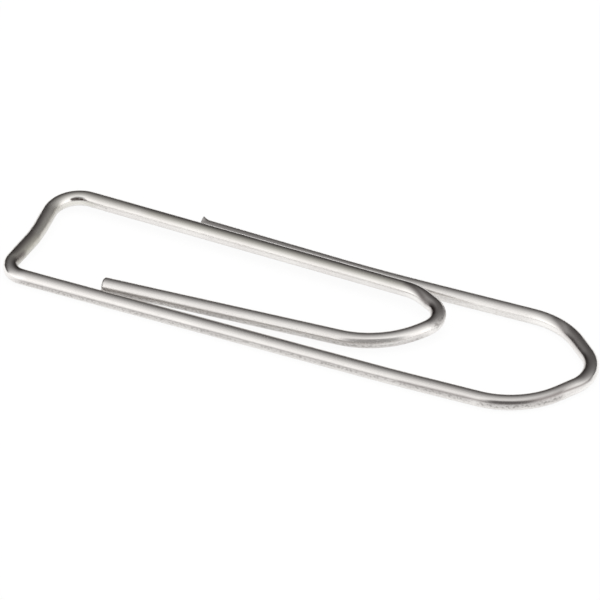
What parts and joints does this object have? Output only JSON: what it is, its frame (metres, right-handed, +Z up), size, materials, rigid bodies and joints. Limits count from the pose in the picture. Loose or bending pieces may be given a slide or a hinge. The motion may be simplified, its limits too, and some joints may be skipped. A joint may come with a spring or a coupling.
{
  "type": "paper clip",
  "caption": "Pointed wire paper clip in bright plated steel: an inner tongue loop springs up from the outer loop on a dented crossbar and grips sheets of paper.",
  "frame": {"origin": "middle of the clip's outline, on the table that it lies on", "axes": "+X along the clip towards its pointed nose, +Y across it towards the free leg, +Z up, the way the tongue lifts"},
  "size_m": [0.0332, 0.0086, 0.0014],
  "materials": {
    "plated_wire": "bright plating over drawn steel wire, with fine lengthwise drawing marks"
  },
  "bodies": {
    "outer_loop": {"free_leg": "plated_wire", "free_shoulder": "plated_wire", "free_flank": "plated_wire", "nose": "plated_wire", "long_flank": "plated_wire", "long_shoulder": "plated_wire", "long_leg": "plated_wire", "heel": "plated_wire", "anchored_crossbar": "plated_wire"},
    "tongue": {"sprung_crossbar": "plated_wire", "tongue_heel": "plated_wire", "tongue_leg": "plated_wire", "tongue_shoulder": "plated_wire", "tongue_flank": "plated_wire", "tongue_nose": "plated_wire", "tongue_bow_flank": "plated_wire", "tongue_bow": "plated_wire", "tongue_end_leg": "plated_wire"}
  },
  "joints": [
    {"name": "tongue_lift", "type": "hinge", "parent": "outer_loop", "child": "tongue", "pos_m": [-0.01585, -0.00026, 0.00058], "axis": [0, -1, 0], "range_deg": [0, 12], "stiffness_Nm_per_rad": 0.25}
  ]
}
